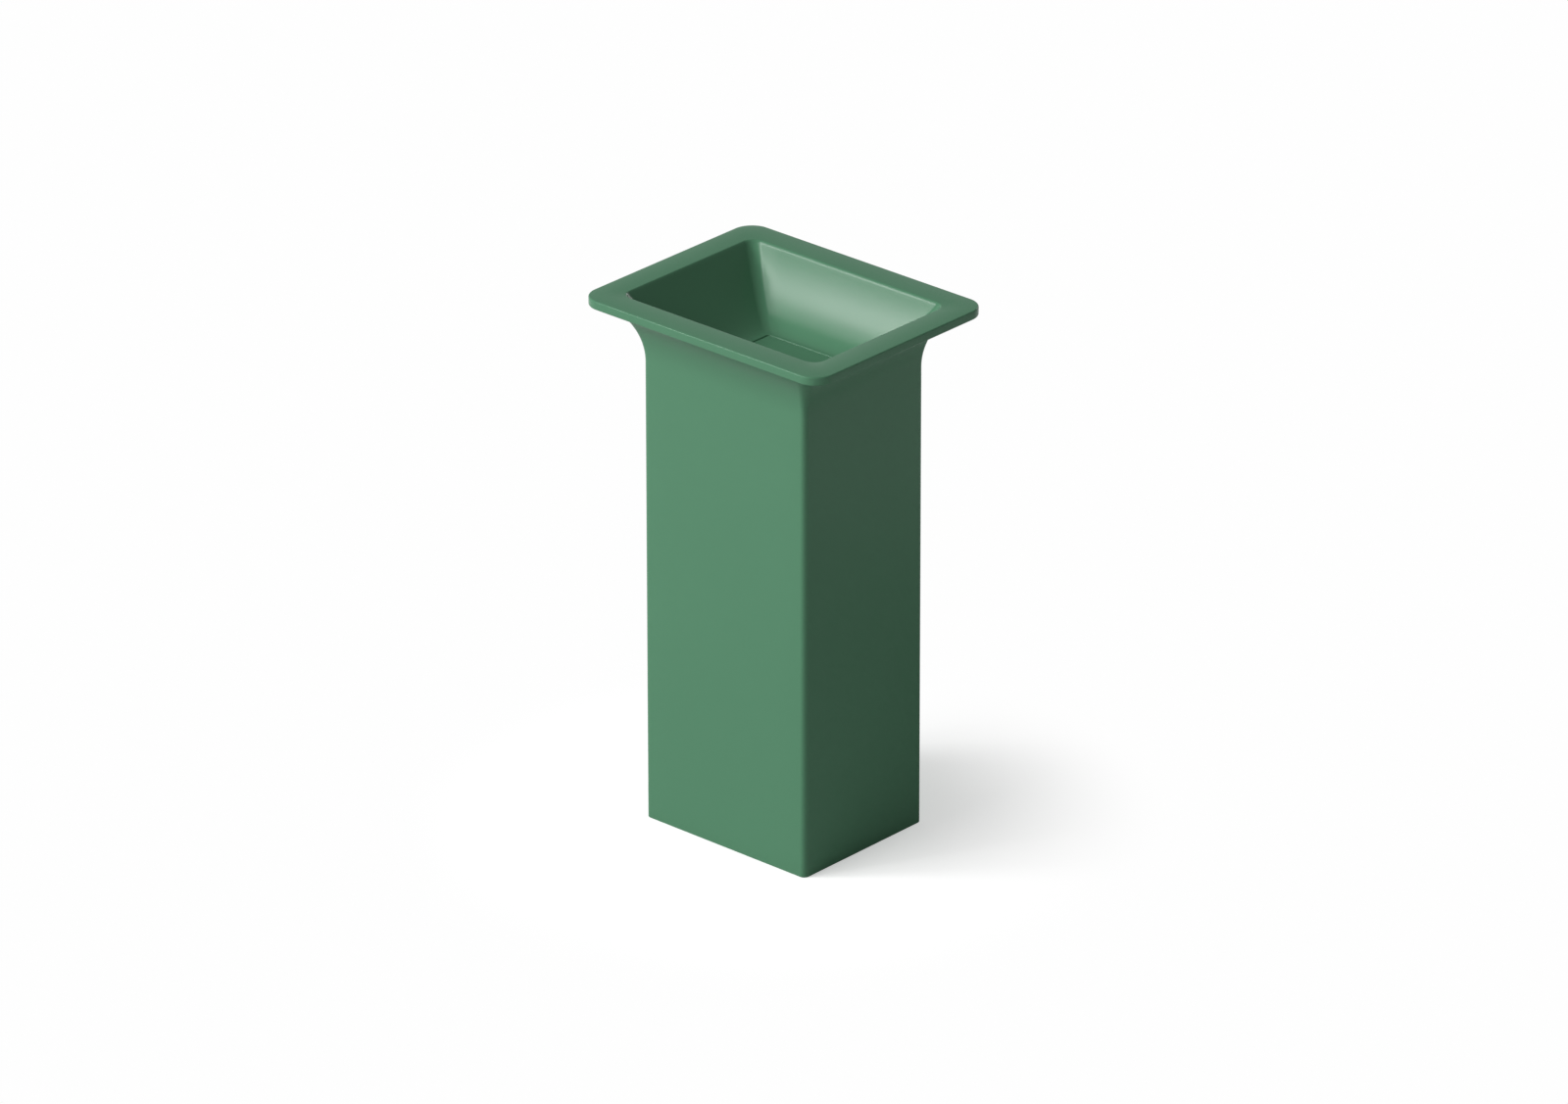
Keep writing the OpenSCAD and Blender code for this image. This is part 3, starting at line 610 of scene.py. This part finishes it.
hardware = {
    # node: (edge radius in metres, segments)
    "service_panel": (0.6 * mm, 3),
    "panel_magnets": (0.3 * mm, 2),
    "catch_plates": (0.2 * mm, 2),
    "waste_body": (0.4 * mm, 3),
    "waste_nut": (0.5 * mm, 2),
    "waste_washer": (0.2 * mm, 2),
    "waste_gasket": (0.4 * mm, 2),
    "trap_inlet_nut": (0.5 * mm, 2),
    "trap_inlet_tube": (0.3 * mm, 2),
    "trap_slip_nut": (0.5 * mm, 2),
    "trap_body": (0.8 * mm, 3),
    "trap_cup": (0.8 * mm, 3),
    "trap_outlet_nut": (0.5 * mm, 2),
    "outlet_elbow": (0.3 * mm, 2),
    "pipe_reducer": (0.4 * mm, 2),
    "floor_pipe": (0.3 * mm, 2),
    "floor_bracket_left": (0.5 * mm, 2),
    "floor_bracket_right": (0.5 * mm, 2),
    "bracket_bolts": (0.4 * mm, 2),
    "bracket_washers": (0.2 * mm, 2),
}


def roundedCopy(node, edge, segments):
    # Hardware keeps its CAD shape: a merged copy of its mesh, with a bevel along its sharp edges
    name = node + "_rounded"
    sharp, flat = meshFinish["hardwareSharp"], math.radians(meshFinish["hardwareFlat"])
    mesh = frame["nodes"][node].data.copy()
    mesh.name = name
    work = bmesh.new()
    work.from_mesh(mesh)
    bmesh.ops.remove_doubles(work, verts=work.verts, dist=meshFinish["weld"])
    bmesh.ops.dissolve_limit(work, angle_limit=flat, verts=work.verts, edges=work.edges)
    work.to_mesh(mesh)
    work.free()
    piece = addPiece(name, mesh, sharp)
    bevel = piece.modifiers.new("edges", "BEVEL")
    bevel.width, bevel.segments = edge, segments
    bevel.limit_method, bevel.angle_limit = "ANGLE", math.radians(sharp)
    standFor(piece, node)


for node, (edge, segments) in hardware.items():
    roundedCopy(node, edge, segments)
for node, piece in frame["nodes"].items():
    if not piece.hide_render:  # small seals and inserts, which no piece replaces
        giveFinish(piece, slotOf[node])
print("hardware rounded:", len(hardware))


stageLook = {
    "floorSize": 14.0,
    "floorDrop": 0.1 * mm,   # keeps the foot's face clear of the floor's
    "floorColor": 0.62,      # what the floor gives back to the object
    "shaded": 0.82,          # colour of the part that the camera sees lit and shaded
    "plain": 0.45,           # plain white added to that, which keeps the shadow light
    "fade": (0.20, 0.62),    # metres from the object's middle where the shadow runs out for the camera
    "mirroredFade": (0.9, 1.9),  # and for what is mirrored
    "sky": 0.20,
    "white": 0.992,
    "ceiling": 0.35,         # what the object mirrors high above the horizon
    "ceilingRise": (0.15, 0.45),  # heights of a unit direction between which the backdrop darkens
}
farSoftbox = {"aimHeight": 0.55, "distance": 16.0, "side": 6.4}
lamps = {  # turn from +X and rise in degrees, the rest in metres and watts
    "bowlSoftbox": {"aimHeight": 0.85, "distance": 5.0, "side": 0.75,
                    "turn": 228, "rise": 29, "power": 46},
    "frontSoftbox": {**farSoftbox, "turn": 232, "rise": 34, "power": 1190},
    "keySoftbox": {**farSoftbox, "turn": 255, "rise": 30, "power": 890},
    "rearSoftbox": {**farSoftbox, "turn": 97, "rise": 18, "power": 360},
}


def grey(value):
    return value, value, value, 1


def mixed(tree, share, first, second):
    # first shader * (1 - share) + second shader * share
    node = addNode(tree, "ShaderNodeMixShader")
    for source, target in zip((share, first, second), node.inputs):
        tree.links.new(source, target)
    return node.outputs[0]


def seenRays(tree):
    # 1 for what is seen straight, mirrored or through glass, 0 for light that falls on the object
    path = addNode(tree, "ShaderNodeLightPath").outputs
    reflected = calc(tree, "MAXIMUM", path["Is Camera Ray"], path["Is Glossy Ray"])
    return calc(tree, "MAXIMUM", reflected, path["Is Transmission Ray"])


def makeFloor(look):
    # The floor gives plain grey light back to the object. What is seen of it is its lit and shaded
    # colour plus some plain white, and turns white with the distance from the object's middle.
    half, low = look["floorSize"] / 2, -look["floorDrop"]
    mesh = bpy.data.meshes.new("floor")
    corners = [(-half, -half, low), (half, -half, low), (half, half, low), (-half, half, low)]
    mesh.from_pydata(corners, [], [(0, 1, 2, 3)])
    floor = bpy.data.objects.new("floor", mesh)
    scene.collection.objects.link(floor)
    material = bpy.data.materials.new("floor")
    material.use_nodes = True
    mesh.materials.append(material)
    tree = material.node_tree
    tree.nodes.clear()
    link = tree.links.new
    out = addNode(tree, "ShaderNodeOutputMaterial")
    given = addNode(tree, "ShaderNodeBsdfDiffuse", {"Color": grey(look["floorColor"])})
    lit = addNode(tree, "ShaderNodeBsdfDiffuse", {"Color": grey(look["shaded"])})
    base = addNode(tree, "ShaderNodeEmission", {"Color": grey(1)})
    plain = addNode(tree, "ShaderNodeEmission", {"Color": grey(look["white"])})
    straight = addNode(tree, "ShaderNodeLightPath").outputs["Is Camera Ray"]
    coords = addNode(tree, "ShaderNodeTexCoord")
    reach = addNode(tree, "ShaderNodeVectorMath", operation="LENGTH")
    link(coords.outputs["Object"], reach.inputs[0])
    # the camera sees white from close to the object, and mirrors show it from further off
    near = smoothRamp(tree, reach.outputs["Value"], look["fade"])
    link(straight, near.inputs["To Max"])
    mirrored = smoothRamp(tree, reach.outputs["Value"], look["mirroredFade"])
    white = calc(tree, "MAXIMUM", near.outputs["Result"], mirrored.outputs["Result"])
    link(calc(tree, "MULTIPLY", straight, look["plain"]), base.inputs["Strength"])
    shaded = addNode(tree, "ShaderNodeAddShader")
    link(lit.outputs[0], shaded.inputs[0])
    link(base.outputs[0], shaded.inputs[1])
    seen = mixed(tree, white, shaded.outputs[0], plain.outputs[0])
    above = mixed(tree, seenRays(tree), given.outputs[0], seen)
    # from underneath the floor is clear, so that the object's foot can be seen
    underside = addNode(tree, "ShaderNodeNewGeometry").outputs["Backfacing"]
    clear = addNode(tree, "ShaderNodeBsdfTransparent")
    shown = mixed(tree, calc(tree, "MULTIPLY", underside, straight), above, clear.outputs[0])
    link(shown, out.inputs["Surface"])


def makeWorld(look):
    # The object is lit by an even dim sky. What is seen of the backdrop is white, and what the object
    # mirrors of it turns grey high above the horizon.
    world = bpy.data.worlds.new("studio")
    scene.world = world
    world.use_nodes = True
    tree = world.node_tree
    tree.nodes.clear()
    link = tree.links.new
    out = addNode(tree, "ShaderNodeOutputWorld")
    sky = addNode(tree, "ShaderNodeBackground", {"Color": grey(1), "Strength": look["sky"]})
    backdrop = addNode(tree, "ShaderNodeBackground", {"Color": grey(1)})
    coords = addNode(tree, "ShaderNodeTexCoord")
    direction = addNode(tree, "ShaderNodeSeparateXYZ")
    link(coords.outputs["Generated"], direction.inputs[0])
    ends = (look["white"], look["ceiling"])
    ceiling = smoothRamp(tree, direction.outputs["Z"], look["ceilingRise"], ends)
    straight = addNode(tree, "ShaderNodeLightPath").outputs["Is Camera Ray"]
    direct = calc(tree, "MULTIPLY", straight, look["white"])
    link(calc(tree, "MAXIMUM", direct, ceiling.outputs["Result"]), backdrop.inputs["Strength"])
    link(mixed(tree, seenRays(tree), sky.outputs[0], backdrop.outputs[0]), out.inputs["Surface"])


def makeLamps(spec):
    # A lamp stands at its distance from a point on the object's axis, along the unit direction of
    # turn and rise, and shines back along it
    for name, lamp in spec.items():
        data = bpy.data.lights.new(name, "AREA")
        data.shape, data.size, data.energy = "SQUARE", lamp["side"], lamp["power"]
        turn, rise = math.radians(lamp["turn"]), math.radians(lamp["rise"])
        level = math.cos(rise)
        towards = Vector((math.cos(turn) * level, math.sin(turn) * level, math.sin(rise)))
        stand = Vector((0, 0, lamp["aimHeight"])) + towards * lamp["distance"]
        turned = towards.to_track_quat("Z", "Y").to_matrix().to_4x4()
        softbox = bpy.data.objects.new(name, data)
        scene.collection.objects.link(softbox)
        softbox.matrix_world = Matrix.Translation(stand) @ turned


makeFloor(stageLook)
makeWorld(stageLook)
makeLamps(lamps)
print("stage and lamps made")
